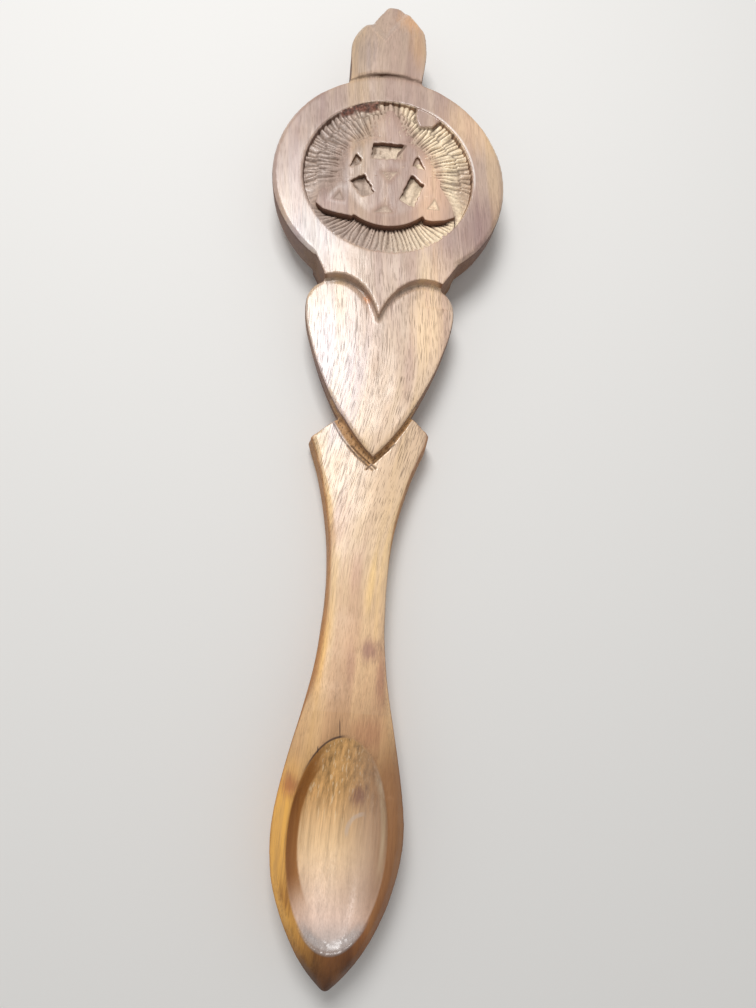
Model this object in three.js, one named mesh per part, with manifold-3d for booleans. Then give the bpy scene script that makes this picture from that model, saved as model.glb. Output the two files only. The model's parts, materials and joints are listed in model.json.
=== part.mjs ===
// Carved wooden incense spoon: a leaf-shaped bowl on a waisted handle, a yoke that holds
// a heart, and a round medallion with a three-cornered knot under a bud finial.
// Millimetres. It lies on its flat back, carved face up (+Z), with the finial towards +Y.
// Lengths along the spoon are measured from the bowl's tip.

import * as THREE from "three";
import { mergeVertices } from "three/addons/utils/BufferGeometryUtils.js";
import Module from "manifold-3d";

const wasm = await Module();
wasm.setup();

// Bowl
const bowlLength = 34.9; // tip to the line where the handle takes over
const bowlWidth = 18.1;
const bowlWidestAt = 19.4;
const rimHeight = 7.8; // above the flat that the spoon lies on
const rimEase = 1.2; // softened outer edge of the rim
const rimWidth = 2.3; // rim beside the hollow
const tipWidth = 0.9;
const bowlOffset = 0.3; // off the head's middle line
const tipHeight = 6.4;
const tipThickness = 2.2;
const tipLand = 5; // solid wood between the tip and the hollow
const neckLand = 3; // solid wood between the hollow and the handle
const floorThickness = 3.9; // wood under the deepest point of the hollow

// Handle and its yoke
const handleLength = 40.6; // bowl line to the yoke's shoulders
const waistWidth = 8.7;
const waistAt = 51.4;
const waistThickness = 4.9;
const waistArch = 1.5; // clear height under the waist
const yokeWidth = 18.4;
const yokeThickness = 5.4;
const yokeOffset = 0.45; // off the head's middle line
const yokeBackLength = 6.6; // flat back of the yoke, below its shoulders
const shoulderSkew = 1.15; // the right shoulder is carved this much higher, and the left lower
const shoulderSlope = 0.83; // rise of a shoulder towards the heart, per millimetre across
const edgeEase = 0.5; // softened front edges of the yoke and the medallion
const faceCrown = 0.35; // rise of the handle's face along its middle

// Heart
const heartWidth = 23.4;
const heartHeight = 28.75; // lower tip to the top of the left lobe
const heartThickness = 6.9;
const heartSeat = 3.75; // how far its tip sinks into the yoke, below the shoulders
const heartOffset = 0.57; // off the head's middle line
const heartTipOffset = 0.58; // off the heart's own middle line
const heartBevelWidth = 0.35;
const heartBevelHeight = 0.7;
const lobeSpacing = 13.4;
const lobeSkew = 0.6; // the right lobe is carved this much higher
const notchDepth = 6.5;
const notchOffset = -0.37;

// Medallion
const medallionRadius = 18.6;
const medallionThickness = 8.5;
const medallionSeat = 0.4; // how far its rim drops below the tops of the heart's lobes
const backRoundWidth = 3.2; // rounded back edge, across and up
const backRoundHeight = 4.6;
const neckWidth = 18.6; // where the medallion meets the heart
const neckFlare = 2.2; // extra half width where the neck runs into the rim
const borderWidth = 4.8; // flat border around the carved ground
const groundDepth = 1.8;
const groundWallSlope = 0.5; // foot of the ground's wall, inside its top edge

// Knot: three arcs that cross in the middle, laced through a ring
const knotMargin = 0.4; // from a corner of the knot to the foot of the ground's wall
const knotDrop = 0.2; // its face, below the border
const bandWidth = 2.3;
const arcCrest = 2; // how far the middle of each arc's band passes the knot's centre
const ringRadius = 7.5;
const ringWidth = 2.4;

// Finial
const finialHeight = 15; // above the medallion's rim
const finialWidth = 12.6;
const finialOffset = -1.6; // off the head's middle line
const finialRise = 0.7; // its dome, above the medallion's face
const domeWidth = 24; // of the round form that the bud's outline is cut from
const domeLength = 46;

// Places that follow
const shoulderAt = bowlLength + handleLength;
const heartAt = shoulderAt - heartSeat;
const lobesAt = heartAt + heartHeight;
const medallionAt = lobesAt - medallionSeat + medallionRadius;
const overallLength = medallionAt + medallionRadius + finialHeight;
const hollowEnd = bowlLength - neckLand;
const waistHeight = waistArch + waistThickness;
const recessRadius = medallionRadius - borderWidth;
const groundHeight = medallionThickness - groundDepth;

// Shapes of the curves
const bowlSwell = 0.68; // below 1 for a fuller tip
const taperPull = 0.8; // below 1 for an earlier taper from bowl to waist
const flareBend = 2.1; // above 1 for a later flare from waist to yoke
const bowlSquareness = 2.2; // section of the back: 2 is an oval, more is boxier
const hollowSides = 5; // the hollow across: 2 is a plain dish, more has steeper walls
const hollowEnds = 2; // the hollow along the spoon, likewise
const yokeSquareness = 8;

const overrun = 2; // how far a cutting shape runs past what it cuts
const roundSteps = 72;
const quarterTurn = Math.PI / 2;

// Closed meshes, cut and joined as solids

function solidOf(geometry) {
  geometry.deleteAttribute("normal");
  geometry.deleteAttribute("uv");
  const merged = mergeVertices(geometry, 1e-4);
  const corners = merged.index.array;
  const kept = [];
  for (let i = 0; i < corners.length; i += 3) {
    const [a, b, c] = corners.slice(i, i + 3);
    if (a !== b && b !== c && c !== a) kept.push(a, b, c);
  }
  const vertProperties = new Float32Array(merged.attributes.position.array);
  const triVerts = new Uint32Array(kept);
  return new wasm.Manifold(new wasm.Mesh({ numProp: 3, vertProperties, triVerts }));
}

function pieceOf(name, solid, color, roughness) {
  const { vertProperties, triVerts } = solid.getMesh();
  const geometry = new THREE.BufferGeometry();
  geometry.setAttribute("position", new THREE.BufferAttribute(vertProperties, 3));
  geometry.setIndex(new THREE.BufferAttribute(triVerts, 1));
  geometry.computeVertexNormals();
  const material = new THREE.MeshStandardMaterial({ color, roughness, metalness: 0 });
  const piece = new THREE.Mesh(geometry, material);
  piece.name = name;
  return piece;
}

function prismOf(shape, low, high) {
  const settings = { depth: high - low, bevelEnabled: false, curveSegments: 16 };
  return new THREE.ExtrudeGeometry(shape, settings).translate(0, 0, low);
}

function discOf(topRadius, bottomRadius, low, high) {
  const disc = new THREE.CylinderGeometry(topRadius, bottomRadius, high - low, roundSteps);
  return disc.rotateX(quarterTurn).translate(0, 0, (low + high) / 2);
}

// Rings of the same count of points, one after another along the spoon, closed at both ends
function loftOf(rings) {
  const count = rings[0].length;
  const last = (rings.length - 1) * count;
  const index = [];
  for (let start = 0; start < last; start += count) {
    for (let i = 0; i < count; i++) {
      const a = start + i;
      const b = start + ((i + 1) % count);
      index.push(a, b, a + count, b, b + count, a + count);
    }
  }
  for (let i = 1; i + 1 < count; i++) {
    index.push(0, i + 1, i);
    index.push(last, last + i, last + i + 1);
  }
  const geometry = new THREE.BufferGeometry().setFromPoints(rings.flat());
  geometry.setIndex(index);
  return geometry;
}

// Sections of the bowl and the handle

function ease(from, to, t) {
  const part = THREE.MathUtils.clamp(t, 0, 1);
  return from + ((to - from) * (1 - Math.cos(Math.PI * part))) / 2;
}

function halfWidthAt(s) {
  if (s < bowlWidestAt) {
    const swell = Math.sin((quarterTurn * s) / bowlWidestAt) ** bowlSwell;
    return Math.max(tipWidth, bowlWidth * swell) / 2;
  }
  if (s < waistAt) {
    const taper = (s - bowlWidestAt) / (waistAt - bowlWidestAt);
    return ease(bowlWidth, waistWidth, taper ** taperPull) / 2;
  }
  const flare = Math.min(1, (s - waistAt) / (shoulderAt - waistAt));
  return (waistWidth + (yokeWidth - waistWidth) * flare ** flareBend) / 2;
}

function faceHeightAt(s) {
  if (s < bowlWidestAt) {
    const climb = Math.sin(quarterTurn * Math.min(1, s / tipLand));
    return tipHeight + (rimHeight - tipHeight) * climb;
  }
  if (s < waistAt) return ease(rimHeight, waistHeight, (s - hollowEnd) / (waistAt - hollowEnd));
  return ease(waistHeight, yokeThickness, (s - waistAt) / (shoulderAt - waistAt));
}

function backHeightAt(s) {
  if (s < bowlWidestAt) return (tipHeight - tipThickness) * (1 - s / bowlWidestAt) ** 2;
  if (s < waistAt) return ease(0, waistArch, (s - bowlWidestAt) / (waistAt - bowlWidestAt));
  return ease(waistArch, 0, (s - waistAt) / (shoulderAt - yokeBackLength - waistAt));
}

// The boat-shaped back of the bowl squares up into the yoke's flat back and upright walls
function sectionAt(s) {
  const towardsYoke = (s - bowlWidestAt) / (shoulderAt - yokeBackLength - bowlWidestAt);
  const squareness = ease(bowlSquareness, yokeSquareness, towardsYoke);
  const half = halfWidthAt(s);
  const middle = ease(bowlOffset, yokeOffset, towardsYoke);
  const eased = Math.min(ease(rimEase, edgeEase, towardsYoke), half / 2);
  const face = faceHeightAt(s);
  const wallTop = face - eased;
  const wallDepth = wallTop - backHeightAt(s);
  const facePoints = 8;
  const backPoints = 18;
  const ring = [];
  for (let i = 0; i <= facePoints; i++) {
    const across = (2 * i) / facePoints - 1;
    const z = face + faceCrown * (1 - across ** 2);
    ring.push(new THREE.Vector3(middle + across * (half - eased), s, z));
  }
  for (let i = 0; i <= backPoints; i++) {
    const angle = (Math.PI * i) / backPoints;
    const across = Math.sign(Math.cos(angle)) * Math.abs(Math.cos(angle)) ** (2 / squareness);
    const z = wallTop - wallDepth * Math.abs(Math.sin(angle)) ** (2 / squareness);
    ring.push(new THREE.Vector3(middle + across * half, s, z));
  }
  return ring;
}

function sweepOf(from, to, steps) {
  const rings = [];
  for (let i = 0; i <= steps; i++) rings.push(sectionAt(from + ((to - from) * i) / steps));
  return solidOf(loftOf(rings));
}

// Sub-parts

// An oval scoop whose rim is level with the bowl's, steep at its sides with a gentle ramp at each end
function hollowOf() {
  const scoop = new THREE.SphereGeometry(1, 48, 32).rotateX(quarterTurn);
  const points = scoop.attributes.position;
  for (let i = 0; i < points.count; i++) {
    if (points.getZ(i) >= 0) continue;
    const out = Math.hypot(points.getX(i), points.getY(i));
    const sideways = out > 0 ? (points.getX(i) / out) ** 2 : 0;
    points.setZ(i, out ** THREE.MathUtils.lerp(hollowEnds, hollowSides, sideways) - 1);
  }
  const length = hollowEnd - tipLand;
  scoop.scale(bowlWidth / 2 - rimWidth, length / 2, rimHeight - floorThickness);
  return solidOf(scoop.translate(bowlOffset, tipLand + length / 2, rimHeight));
}

function bowlOf() {
  return sweepOf(0, bowlLength, 30).subtract(hollowOf());
}

function heartShape() {
  const half = heartWidth / 2;
  const lobe = lobeSpacing / 2;
  const tip = heartTipOffset;
  const left = heartHeight;
  const right = heartHeight + lobeSkew;
  const widest = heartHeight * 0.86;
  const notch = heartHeight - notchDepth;
  const cleft = notch + notchDepth * 0.53;
  const shape = new THREE.Shape();
  shape.moveTo(tip, 0);
  shape.bezierCurveTo(half * 0.56, heartHeight * 0.21, half * 1.03, heartHeight * 0.71, half, widest);
  shape.bezierCurveTo(half, right * 0.95, half * 0.8, right, lobe, right);
  shape.bezierCurveTo(lobe * 0.54, right, notchOffset + lobe * 0.13, cleft, notchOffset, notch);
  shape.bezierCurveTo(notchOffset - lobe * 0.13, cleft, -lobe * 0.54, left, -lobe, left);
  shape.bezierCurveTo(-half * 0.8, left, -half, left * 0.95, -half, widest);
  shape.bezierCurveTo(-half * 1.03, heartHeight * 0.71, -half * 0.56, heartHeight * 0.21, tip, 0);
  return shape;
}

// Room for the heart, through the full thickness of what it is set into
function heartRoomFrom(origin) {
  const room = prismOf(heartShape(), -overrun, medallionThickness + overrun);
  return solidOf(room.translate(heartOffset, heartAt - origin, 0));
}

function heartOf() {
  const settings = {
    depth: heartThickness,
    bevelThickness: heartBevelHeight,
    bevelSize: heartBevelWidth,
    bevelOffset: -heartBevelWidth,
    bevelSegments: 1,
    curveSegments: 16,
  };
  const blank = new THREE.ExtrudeGeometry(heartShape(), settings).translate(0, 0, -heartBevelHeight);
  const below = new THREE.BoxGeometry(2 * heartWidth, 2 * heartHeight, 2 * heartThickness);
  below.translate(0, heartHeight / 2, -heartThickness);
  return solidOf(blank).subtract(solidOf(below));
}

// Everything below the two shoulders, which climb towards the heart
function yokeShape() {
  const rise = (yokeWidth / 2) * shoulderSlope;
  const left = shoulderAt - shoulderSkew;
  const right = shoulderAt + shoulderSkew;
  const shape = new THREE.Shape();
  shape.moveTo(-yokeWidth, 0);
  shape.lineTo(yokeWidth, 0);
  shape.lineTo(yokeWidth, right - rise);
  shape.lineTo(0, right + rise);
  shape.lineTo(0, left + rise);
  shape.lineTo(-yokeWidth, left - rise);
  return shape;
}

function handleOf() {
  const blank = sweepOf(bowlLength, shoulderAt + yokeWidth, 40);
  const belowShoulders = prismOf(yokeShape(), -overrun, rimHeight + overrun).translate(yokeOffset, 0, 0);
  return blank.intersect(solidOf(belowShoulders)).subtract(heartRoomFrom(0));
}

// The medallion, its knot and the finial are measured from the medallion's centre

function neckShape() {
  const half = neckWidth / 2;
  const flared = half + neckFlare;
  const lobes = lobesAt - medallionAt;
  const rim = -Math.sqrt(medallionRadius ** 2 - (flared + heartOffset) ** 2);
  const shape = new THREE.Shape();
  shape.moveTo(-half, lobes - notchDepth);
  shape.lineTo(half, lobes - notchDepth);
  shape.lineTo(half, lobes);
  shape.lineTo(flared, rim);
  shape.lineTo(-flared, rim);
  shape.lineTo(-half, lobes);
  return shape;
}

function medallionOf() {
  const profile = new THREE.Path();
  profile.moveTo(0, 0);
  const flatRadius = medallionRadius - backRoundWidth;
  profile.lineTo(flatRadius, 0);
  profile.absellipse(flatRadius, backRoundHeight, backRoundWidth, backRoundHeight, -quarterTurn, 0);
  profile.lineTo(medallionRadius, medallionThickness - edgeEase);
  profile.lineTo(medallionRadius - edgeEase, medallionThickness);
  profile.lineTo(0, medallionThickness);
  const disc = new THREE.LatheGeometry(profile.getPoints(6), roundSteps).rotateX(quarterTurn);
  const neck = prismOf(neckShape(), 0, medallionThickness).translate(heartOffset, 0, 0);
  const mouth = recessRadius + (groundWallSlope * overrun) / groundDepth;
  const recess = discOf(mouth, recessRadius - groundWallSlope, groundHeight, medallionThickness + overrun);
  const blank = solidOf(disc).add(solidOf(neck));
  return blank.subtract(solidOf(recess)).subtract(heartRoomFrom(medallionAt));
}

function knotOf() {
  const height = groundDepth - knotDrop;
  const reach = recessRadius - groundWallSlope - knotMargin;
  const crest = arcCrest + bandWidth / 2;
  const centreOut = (reach ** 2 - crest ** 2) / (reach + 2 * crest); // makes the outer edges meet at reach
  const radius = centreOut + arcCrest;
  const roundAt = (turn, r) => {
    const angle = (turn * 2 * Math.PI) / 3 - quarterTurn;
    const disc = discOf(r, r, 0, height);
    return solidOf(disc.translate(centreOut * Math.cos(angle), centreOut * Math.sin(angle), 0));
  };
  const outer = [0, 1, 2].map((turn) => roundAt(turn, radius + bandWidth / 2));
  const inner = [0, 1, 2].map((turn) => roundAt(turn, radius - bandWidth / 2));
  const ringOuter = solidOf(discOf(ringRadius + ringWidth / 2, ringRadius + ringWidth / 2, 0, height));
  const ringInner = solidOf(discOf(ringRadius - ringWidth / 2, ringRadius - ringWidth / 2, 0, height));
  let knot = ringOuter.subtract(ringInner);
  for (const turn of [0, 1, 2]) {
    const others = outer[(turn + 1) % 3].add(outer[(turn + 2) % 3]);
    knot = knot.add(outer[turn].subtract(inner[turn]).intersect(others));
  }
  return knot;
}

// A pointed bud with a shoulder and a notch on its left
function finialShape() {
  const half = finialWidth / 2;
  const height = finialHeight;
  const base = half * 0.94;
  const shape = new THREE.Shape();
  shape.moveTo(base, -half);
  shape.lineTo(base, 0);
  shape.bezierCurveTo(half * 1.03, height * 0.2, half * 1.05, height * 0.5, half * 0.92, height * 0.66);
  shape.bezierCurveTo(half * 0.8, height * 0.72, half * 0.5, height * 0.88, half * 0.25, height * 0.98);
  shape.quadraticCurveTo(half * 0.07, height * 1.02, half * -0.12, height * 0.98);
  shape.lineTo(half * -0.5, height * 0.7);
  shape.bezierCurveTo(half * -0.75, height * 0.68, half * -1.02, height * 0.53, -half, height * 0.35);
  shape.bezierCurveTo(-half, height * 0.2, -base, height * 0.1, -base, 0);
  shape.lineTo(-base, -half);
  return shape;
}

function finialOf() {
  const top = medallionThickness + finialRise;
  const middle = medallionThickness / 2;
  const bud = prismOf(finialShape(), 0, top + overrun).translate(finialOffset, medallionRadius, 0);
  const dome = new THREE.SphereGeometry(1, 48, 32);
  dome.scale(domeWidth / 2, domeLength / 2, top - middle).translate(finialOffset, medallionRadius, middle);
  const rim = discOf(medallionRadius, medallionRadius, -overrun, top + overrun);
  return solidOf(bud).intersect(solidOf(dome)).subtract(solidOf(rim));
}

// The spoon, centred on its length

const heart = pieceOf("heart", heartOf(), 0xa2856f, 0.38);
heart.position.set(heartOffset, heartAt, 0);

const knot = pieceOf("knot", knotOf(), 0x86694f, 0.5);
knot.position.z = groundHeight;

const head = new THREE.Group();
head.position.y = medallionAt;
head.add(pieceOf("medallion", medallionOf(), 0x93735c, 0.42), knot);
head.add(pieceOf("finial", finialOf(), 0x9a7c66, 0.42));

const spoon = new THREE.Group();
spoon.position.y = -overallLength / 2;
spoon.add(pieceOf("bowl", bowlOf(), 0xa4733f, 0.36));
spoon.add(pieceOf("handle", handleOf(), 0x9c7149, 0.4), heart, head);

const model = new THREE.Group();
model.add(spoon);

export default model;
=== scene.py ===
import json
import math

import bmesh
import bpy
import numpy as np
from mathutils import Matrix, Vector
from mathutils.bvhtree import BVHTree


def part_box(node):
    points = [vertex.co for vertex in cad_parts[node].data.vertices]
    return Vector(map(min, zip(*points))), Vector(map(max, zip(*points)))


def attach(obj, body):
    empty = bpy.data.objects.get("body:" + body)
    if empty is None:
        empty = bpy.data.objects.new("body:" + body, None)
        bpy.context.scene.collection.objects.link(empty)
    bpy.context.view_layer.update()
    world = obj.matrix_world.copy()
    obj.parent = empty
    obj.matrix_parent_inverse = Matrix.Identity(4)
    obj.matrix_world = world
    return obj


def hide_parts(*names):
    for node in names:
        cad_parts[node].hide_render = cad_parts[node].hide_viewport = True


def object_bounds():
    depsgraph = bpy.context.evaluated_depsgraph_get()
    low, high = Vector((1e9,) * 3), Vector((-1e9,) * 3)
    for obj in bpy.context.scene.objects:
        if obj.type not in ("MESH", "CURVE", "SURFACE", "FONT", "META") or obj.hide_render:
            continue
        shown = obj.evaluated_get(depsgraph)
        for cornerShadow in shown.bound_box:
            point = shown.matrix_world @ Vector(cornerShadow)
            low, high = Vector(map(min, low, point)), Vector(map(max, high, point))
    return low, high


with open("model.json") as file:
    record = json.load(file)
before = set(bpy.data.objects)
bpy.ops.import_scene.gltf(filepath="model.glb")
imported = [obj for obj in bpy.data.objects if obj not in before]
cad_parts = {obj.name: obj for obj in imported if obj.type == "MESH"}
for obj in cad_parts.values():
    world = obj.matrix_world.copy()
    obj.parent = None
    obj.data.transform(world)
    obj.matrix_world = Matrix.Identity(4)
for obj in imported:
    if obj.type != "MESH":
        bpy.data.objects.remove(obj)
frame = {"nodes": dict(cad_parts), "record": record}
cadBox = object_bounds()
mm = 0.001

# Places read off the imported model, in metres
_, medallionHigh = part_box("medallion")
heartLow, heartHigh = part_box("heart")
knotLow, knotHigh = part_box("knot")
finialLow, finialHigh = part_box("finial")
bowlLow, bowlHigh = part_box("bowl")
headRadius = medallionHigh.x
headY = medallionHigh.y - headRadius
heartX, heartY = (heartLow.x + heartHigh.x) / 2, (heartLow.y + heartHigh.y) / 2

# and those that the carving uses in millimetres, as are all sizes from the blank on
discY, discZ, discRadius = headY / mm, medallionHigh.z / mm, headRadius / mm
heartMid, heartZ = heartX / mm, heartHigh.z / mm
heartTip, heartEnd = heartLow.y / mm, heartHigh.y / mm
knotZ = knotHigh.z / mm
print("frame loaded:", sorted(frame["nodes"]))


# Small helpers

def makeObject(name, mesh):
    made = bpy.data.objects.new(name, mesh)
    bpy.context.scene.collection.objects.link(made)
    return made


def editMesh(mesh, edit):
    bm = bmesh.new()
    bm.from_mesh(mesh)
    edit(bm)
    bm.to_mesh(mesh)
    bm.free()


def makeSolid(name, build):
    mesh = bpy.data.meshes.new(name)
    editMesh(mesh, build)
    return makeObject(name, mesh)


def bakeModifiers(piece):
    # the modifiers' result becomes the piece's own mesh
    seen = piece.evaluated_get(bpy.context.evaluated_depsgraph_get())
    old = piece.data
    piece.data = bpy.data.meshes.new_from_object(seen)
    piece.modifiers.clear()
    bpy.data.meshes.remove(old)


def readVectors(items, key):
    values = np.empty(len(items) * 3, np.float32)
    items.foreach_get(key, values)
    return values.reshape(-1, 3).astype(float)


def readPoints(mesh):
    return readVectors(mesh.vertices, "co") / mm


def readNormals(mesh):
    return readVectors(mesh.vertex_normals, "vector")


def writePoints(mesh, points):
    mesh.vertices.foreach_set("co", (points * mm).astype(np.float32).ravel())
    mesh.update()


def onDisc(points):
    # x and y from the medallion's middle
    return points[:, 0], points[:, 1] - discY


def toVector(point):
    return Vector((point * mm).tolist())


def blend(first, last, share):
    return first + (last - first) * share


def ease(low, high, values):
    # a soft step from 0 to 1
    t = np.clip((values - low) / (high - low), 0, 1)
    return t * t * (3 - 2 * t)


def dice(i, j, seed):
    # a repeatable random number from 0 to 1 for each whole-numbered cell
    n = np.sin(i * 127.1 + j * 311.7 + seed * 74.7) * 43758.5453
    return n - np.floor(n)


def ripple(a, b, seed):
    # smooth noise from -1 to 1
    i, j = np.floor(a), np.floor(b)
    f, g = ease(0, 1, a - i), ease(0, 1, b - j)
    low = dice(i, j, seed) * (1 - f) + dice(i + 1, j, seed) * f
    high = dice(i, j + 1, seed) * (1 - f) + dice(i + 1, j + 1, seed) * f
    return (low * (1 - g) + high * g) * 2 - 1


# Studio

studio = {
    "floorSize": 3.0,
    "floorColor": (0.80, 0.79, 0.77, 1),
    "floorRoughness": 0.9,
    "worldColor": (1.0, 0.99, 0.98, 1),
    "worldStrength": 0.40,
    "keyPlace": (-0.051, 0.141, 0.276),
    "keyAim": (0, 0.016, 0),
    "keySize": (0.122, 0.141),
    "keyPower": 0.68,
}
camera = {
    # worked out from the photograph: the round medallion gives the tilt, both ends the distance
    "place": (-0.005435, -0.036334, 0.115835),
    "right": (0.99337461, 0.07333094, 0.08848423),
    "up": (-0.09103542, 0.97204241, 0.21643961),
    "back": (-0.0701387, -0.22306082, 0.97227796),
    "lens": 27.14,
    "sensor": 36,
    "near": 0.005,
}


def makeFloor():
    grid = {"x_segments": 2, "y_segments": 2, "size": studio["floorSize"] / 2}
    floor = makeSolid("floor", lambda bm: bmesh.ops.create_grid(bm, **grid))
    paint = bpy.data.materials.new("palePaper")
    paint.use_nodes = True
    shader = paint.node_tree.nodes["Principled BSDF"]
    shader.inputs["Base Color"].default_value = studio["floorColor"]
    shader.inputs["Roughness"].default_value = studio["floorRoughness"]
    floor.data.materials.append(paint)


def makeLights():
    world = bpy.data.worlds.new("softRoom")
    bpy.context.scene.world = world
    world.use_nodes = True
    sky = world.node_tree.nodes["Background"]
    sky.inputs["Color"].default_value = studio["worldColor"]
    sky.inputs["Strength"].default_value = studio["worldStrength"]
    lamp = bpy.data.lights.new("keyLight", "AREA")
    lamp.shape = "RECTANGLE"
    lamp.size, lamp.size_y = studio["keySize"]
    lamp.energy = studio["keyPower"]
    key = makeObject("keyLight", lamp)
    key.location = studio["keyPlace"]
    aim = Vector(studio["keyAim"]) - key.location
    key.rotation_euler = aim.to_track_quat("-Z", "Y").to_euler()


def makeCamera():
    lens = bpy.data.cameras.new("camera")
    lens.lens = camera["lens"]
    lens.sensor_width = camera["sensor"]
    lens.clip_start = camera["near"]
    shot = makeObject("camera", lens)
    turn = Matrix((camera["right"], camera["up"], camera["back"])).transposed()
    shot.matrix_world = Matrix.Translation(camera["place"]) @ turn.to_4x4()
    bpy.context.scene.camera = shot


makeFloor()
makeLights()
makeCamera()
bpy.context.scene.view_settings.view_transform = "Standard"
print("studio ready")


# The blank: every region but the knot as one rough piece of wood, smoothed by sanding

blankSpec = {
    "voxel": 0.25,
    "sanding": 2,
    "handleSanding": 4,
    "crispness": 0.75,
    "crispFrom": (-32, -20),  # it sets in along the waist
    "waviness": 0.07,
}


def nodeCopies(*names):
    def build(bm):
        for name in names:
            bm.from_mesh(frame["nodes"][name].data)
        bmesh.ops.remove_doubles(bm, verts=bm.verts, dist=0.001 * mm)
    return build


def remesh(piece, voxel):
    grid = piece.modifiers.new("voxels", "REMESH")
    grid.mode = "VOXEL"
    grid.voxel_size = voxel * mm
    bakeModifiers(piece)


def sand(mesh, passes, chosen=lambda co: True):
    def edit(bm):
        picked = [v for v in bm.verts if chosen(v.co)]
        for _ in range(passes):
            bmesh.ops.smooth_vert(
                bm, verts=picked, factor=0.5, use_axis_x=True, use_axis_y=True, use_axis_z=True)
    editMesh(mesh, edit)


def refine(mesh, chosen):
    # twice as many edges where fine carving comes
    def edit(bm):
        edges = [e for e in bm.edges if chosen[e.verts[0].index] and chosen[e.verts[1].index]]
        bmesh.ops.subdivide_edges(bm, edges=edges, cuts=1, use_grid_fill=True)
    editMesh(mesh, edit)


def crispEdges(mesh, model):
    # the sanded outer edges go back towards the model's own, from the waist upwards
    points = readPoints(mesh)
    edge = ease(0.04, 0.12, -bends(mesh)) * ease(*blankSpec["crispFrom"], points[:, 1])
    for i in np.flatnonzero(edge > 0.02):
        wanted = np.array(model.find_nearest(toVector(points[i]))[0]) / mm
        points[i] += (wanted - points[i]) * edge[i] * blankSpec["crispness"]
    writePoints(mesh, points)


# Cutting tools

def boolean(piece, tool, operation):
    cut = piece.modifiers.new("saw", "BOOLEAN")
    cut.object = tool
    cut.operation = operation
    cut.solver = "MANIFOLD"
    bakeModifiers(piece)


def cutAway(piece, tool):
    boolean(piece, tool, "DIFFERENCE")
    bpy.data.objects.remove(tool)


# Outlines

def lineDistance(x, y, x0, y0, x1, y1):
    along = ((x - x0) * (x1 - x0) + (y - y0) * (y1 - y0)) / ((x1 - x0) ** 2 + (y1 - y0) ** 2)
    along = np.clip(along, 0, 1)
    return np.hypot(x - x0 - along * (x1 - x0), y - y0 - along * (y1 - y0))


def outlineDistance(outline, x, y):
    # distance to a closed outline, below zero inside it
    away = np.full(len(x), np.inf)
    inside = np.zeros(len(x), bool)
    for (x0, y0), (x1, y1) in zip(outline, outline[1:] + outline[:1]):
        away = np.minimum(away, lineDistance(x, y, x0, y0, x1, y1))
        if y0 != y1:
            inside ^= ((y0 > y) != (y1 > y)) & (x < (x1 - x0) * (y - y0) / (y1 - y0) + x0)
    return np.where(inside, -away, away)


# The knot: a ring with three lobes, left standing and pierced by a few openings.
# Its outlines are in millimetres from the medallion's middle.

knotSpec = {
    "voxel": 0.12,
    "sanding": 4,
    "ring": (-0.15, -0.3, 8.7),  # middle and outer radius
    "segments": 120,
    "sink": 0.4,  # how far its foot goes into the ground
    "lobes": [
        [(-11.2, -6.2), (-9.9, -7.2), (-8, -7.6), (-5.2, -7.9),
         (-3, 0), (-8.8, -0.6), (-9.8, -2.4), (-10.8, -4)],
        [(11.2, -6), (10.6, -4), (9.6, -2.4), (8.6, -0.9),
         (3, 0), (6.4, -7.1), (7.6, -7.2), (9.6, -6.8)],
        [(-0.3, 13.6), (-1.4, 12.8), (-3.2, 10.5), (-4.3, 8),
         (0, 3), (4.8, 7), (3, 9.4), (1.4, 11.7), (0.5, 13)],
    ],
    "openings": [  # outline and depth
        ([(-2.7, 5.75), (2.2, 6.1), (1, 4.3), (0.95, 3.4), (-2.75, 3)], 3),
        ([(-5.85, -1.65), (-3.85, -0.3), (-2.2, -3.2), (-3.95, -4.05)], 3),
        ([(3.7, 0.5), (5.75, -1), (4.35, -4.85), (2.25, -3.85)], 3),
        ([(-6.25, 0.95), (-5.35, 3.4), (-4.6, 2.5), (-4.8, 1.6)], 0.7),
        ([(4.55, 4.3), (3.85, 2.4), (5.8, 2)], 0.6),
    ],
    "clear": 0.1,  # how far their cutters reach past the face
    "flare": 1.1,  # of the openings towards the face
    "jagged": 0.13,  # unevenness of their edges
    "slit": (2.4, 5.9, 1.15, 4.1),  # a line of painted shade down the top opening's right side
    "scoops": [  # shallow nicks: outline, depth, how dark the painted shade along its edge is, and how pale its floor
        ([(-1, 0.6), (1.4, 0.9), (0.15, -0.9)], 0.3, 0.25, 0.7),
        ([(-1.75, -6.75), (-0.15, -5.3), (1.1, -6.4)], 0.3, 0.4, 0.7),
        ([(-8.45, -5.2), (-7.55, -3.8), (-6.9, -5.2)], 0.2, 0.6, 0.5),
        ([(7.8, -3.2), (6.7, -5.1), (8.6, -5.05)], 0.25, 0.6, 0.7),
        ([(1.1, 4.3), (2.1, 5.8), (2.2, 3.45), (1, 3.35)], 0.3, 0, 0.2),
    ],
    "runOut": 1.7,  # how far the gouge marks run up the two upper flanks
    "softEdge": 0.24,
    "fluted": 0.4,
}


def knotDistance(u, v):
    x, y, radius = knotSpec["ring"]
    away = np.hypot(u - x, v - y) - radius
    for lobe in knotSpec["lobes"]:
        away = np.minimum(away, outlineDistance(lobe, u, v))
    return away


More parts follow.
